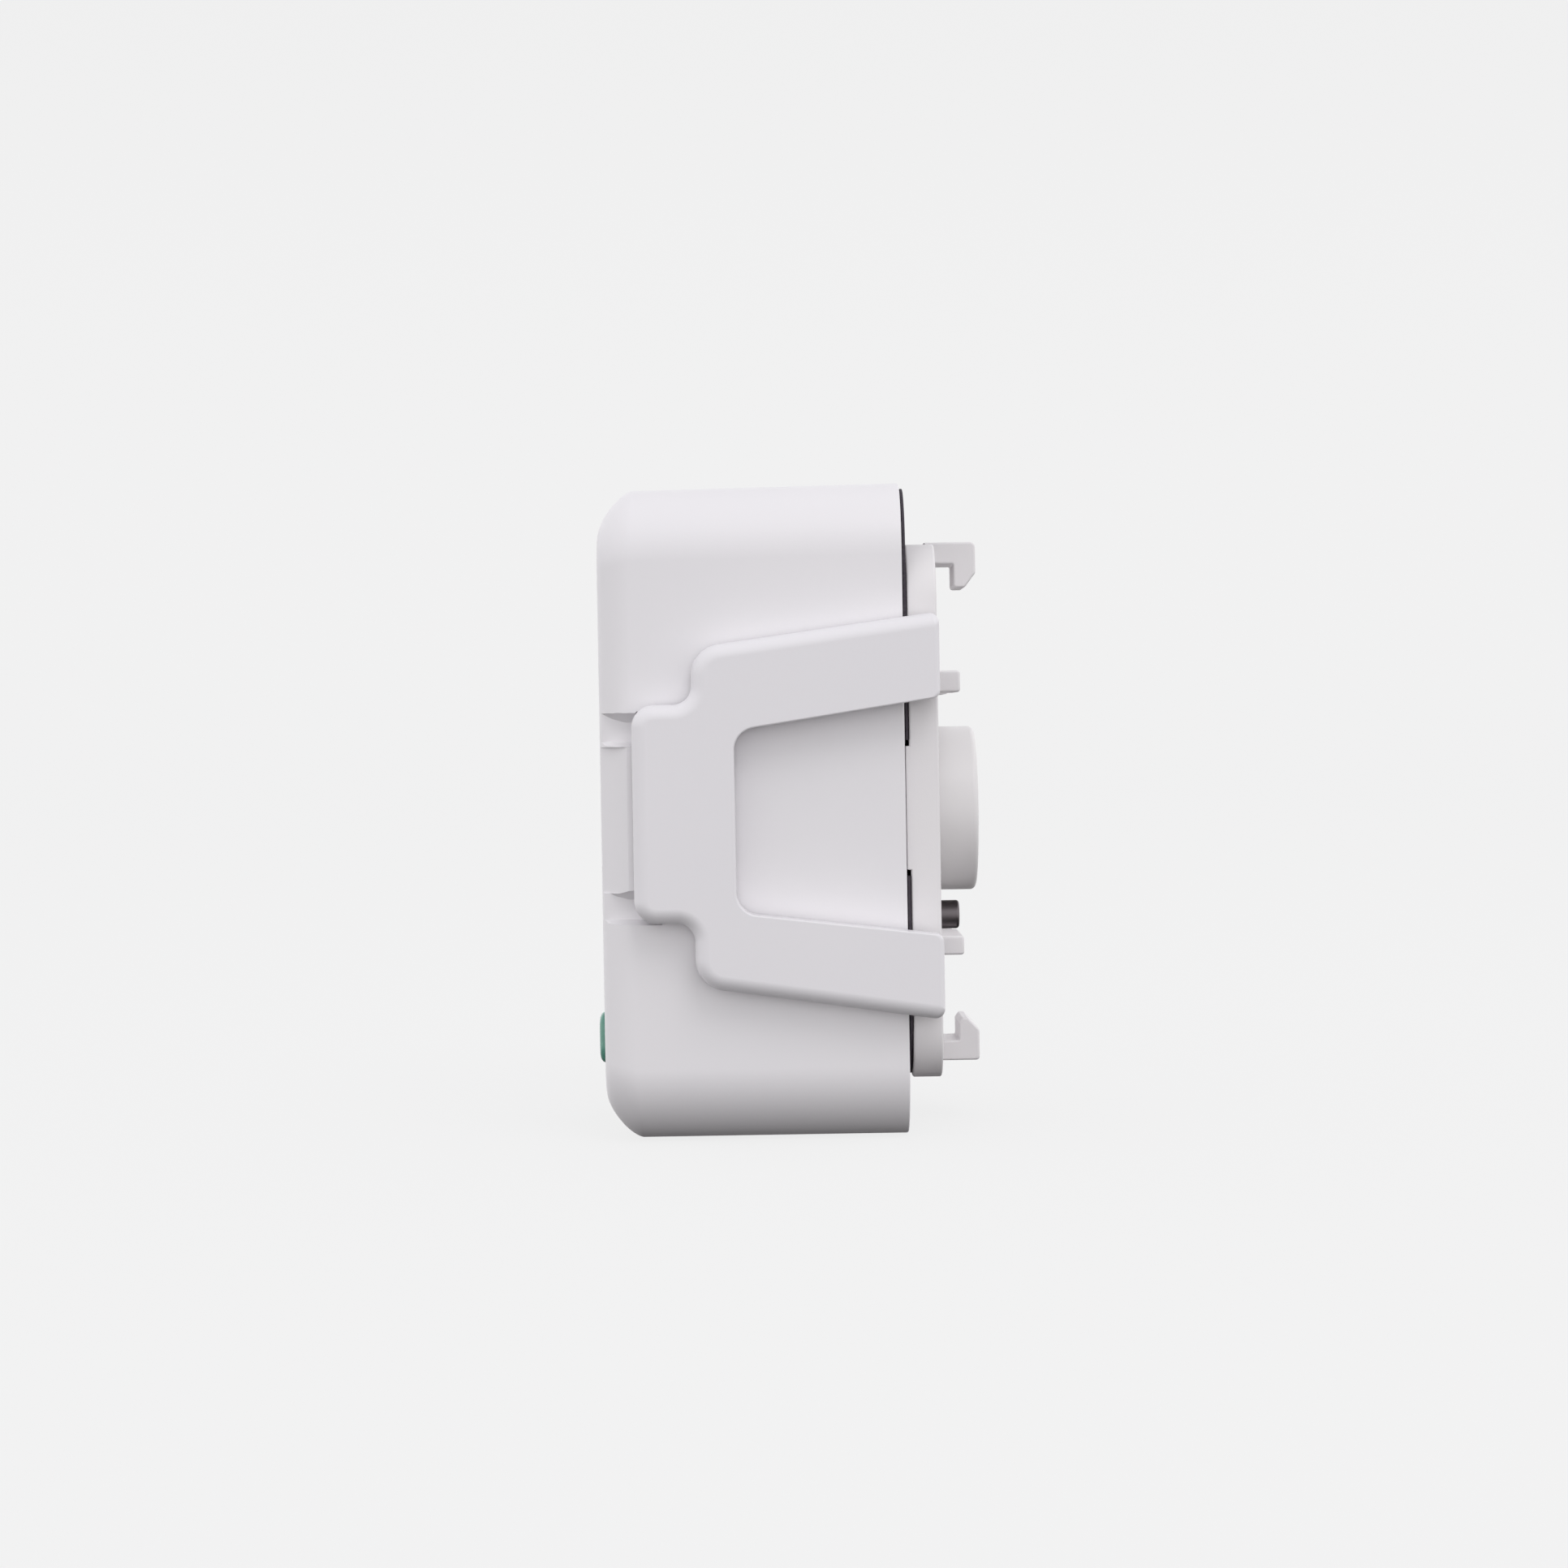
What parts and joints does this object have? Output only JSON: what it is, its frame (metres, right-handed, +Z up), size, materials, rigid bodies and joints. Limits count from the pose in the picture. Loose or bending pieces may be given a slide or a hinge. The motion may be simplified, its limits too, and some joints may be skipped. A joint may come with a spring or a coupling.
{
  "type": "stair gate latch",
  "caption": "White box-shaped stair gate latch with a front release button, side clips, and a hooked rear plate with a round sprung bolt and a sensing pin.",
  "frame": {"origin": "on the surface that the housing stands on, under the middle of the part's box", "axes": "+Z up, -X out of the front face with the button, +X out of the carrier plate towards the gate, Y across"},
  "size_m": [0.0534, 0.065, 0.088],
  "materials": {
    "housing_white": "fine satin moulded ABS",
    "clip_white": "satin moulded ABS",
    "plate_white": "matt moulded nylon",
    "bolt_white": "satin acetal",
    "button_white": "satin with a polished dish",
    "acetal": "natural acetal",
    "inner_frame": "grey glass-filled nylon",
    "gasket_foam": "closed-cell foam",
    "indicator_green": "gloss, slightly translucent",
    "pin_steel": "turned stainless",
    "screw_steel": "zinc plated",
    "spring_steel": "drawn spring wire"
  },
  "bodies": {
    "housing": {"front_shell": "housing_white", "rear_cover": "plate_white", "rear_gasket": "gasket_foam", "mount_plate": "plate_white", "chassis": "inner_frame", "indicator_bezel": "housing_white", "case_screw_1": "screw_steel", "case_screw_2": "screw_steel", "case_screw_3": "screw_steel", "case_screw_4": "screw_steel", "chassis_screw_1": "screw_steel", "chassis_screw_2": "screw_steel", "chassis_screw_3": "screw_steel", "chassis_screw_4": "screw_steel", "clip_pin_upper_near": "pin_steel", "clip_pin_upper_far": "pin_steel", "clip_pin_lower_near": "pin_steel", "clip_pin_lower_far": "pin_steel", "clip_spring_near": "spring_steel", "clip_spring_far": "spring_steel", "bolt_spring": "spring_steel", "sense_spring": "spring_steel", "rocker_pin_upper": "pin_steel", "rocker_pin_lower": "pin_steel"},
    "clip_near": {"side_clip_near": "clip_white"},
    "clip_far": {"side_clip_far": "clip_white"},
    "bolt": {"latch_bolt": "bolt_white", "bolt_retainer": "acetal"},
    "button": {"release_button": "button_white"},
    "rocker_top": {"rocker_upper": "acetal"},
    "rocker_bottom": {"rocker_lower": "acetal"},
    "sensor": {"sense_pin": "pin_steel", "indicator_link": "acetal", "status_indicator": "indicator_green"}
  },
  "joints": [
    {"name": "clip_near_swing", "type": "hinge", "parent": "housing", "child": "clip_near", "pos_m": [0.0182, -0.0252, 0.0435], "axis": [0, 0, 1], "range_deg": [0, 10], "stiffness_Nm_per_rad": 0.35, "springref_deg": -1.72, "deforming": ["clip_spring_near"]},
    {"name": "clip_far_swing", "type": "hinge", "parent": "housing", "child": "clip_far", "pos_m": [0.0182, 0.0252, 0.0435], "axis": [0, 0, -1], "range_deg": [0, 10], "stiffness_Nm_per_rad": 0.35, "springref_deg": -1.72, "deforming": ["clip_spring_far"]},
    {"name": "bolt_slide", "type": "slide", "parent": "housing", "child": "bolt", "axis": [-1, 0, 0], "range_m": [0, 0.006], "stiffness_N_per_m": 600, "springref_m": -0.002, "deforming": ["bolt_spring"]},
    {"name": "button_press", "type": "slide", "parent": "housing", "child": "button", "axis": [1, 0, 0], "range_m": [0, 0.004]},
    {"name": "rocker_top_turn", "type": "hinge", "parent": "housing", "child": "rocker_top", "pos_m": [-0.007, 0, 0.062], "axis": [0, 1, 0], "range_deg": [0, 25.46]},
    {"name": "rocker_bottom_turn", "type": "hinge", "parent": "housing", "child": "rocker_bottom", "pos_m": [-0.007, 0, 0.025], "axis": [0, -1, 0], "range_deg": [0, 25.46]},
    {"name": "sense_slide", "type": "slide", "parent": "housing", "child": "sensor", "axis": [-1, 0, 0], "range_m": [0, 0.0025], "stiffness_N_per_m": 300, "springref_m": -0.001, "deforming": ["sense_spring"]}
  ],
  "couplings": [
    {"joint": "button_press", "follows": "bolt_slide", "ratio": 0.6666},
    {"joint": "rocker_top_turn", "follows": "bolt_slide", "rad_per_m": 74.07},
    {"joint": "rocker_bottom_turn", "follows": "bolt_slide", "rad_per_m": 74.07}
  ]
}
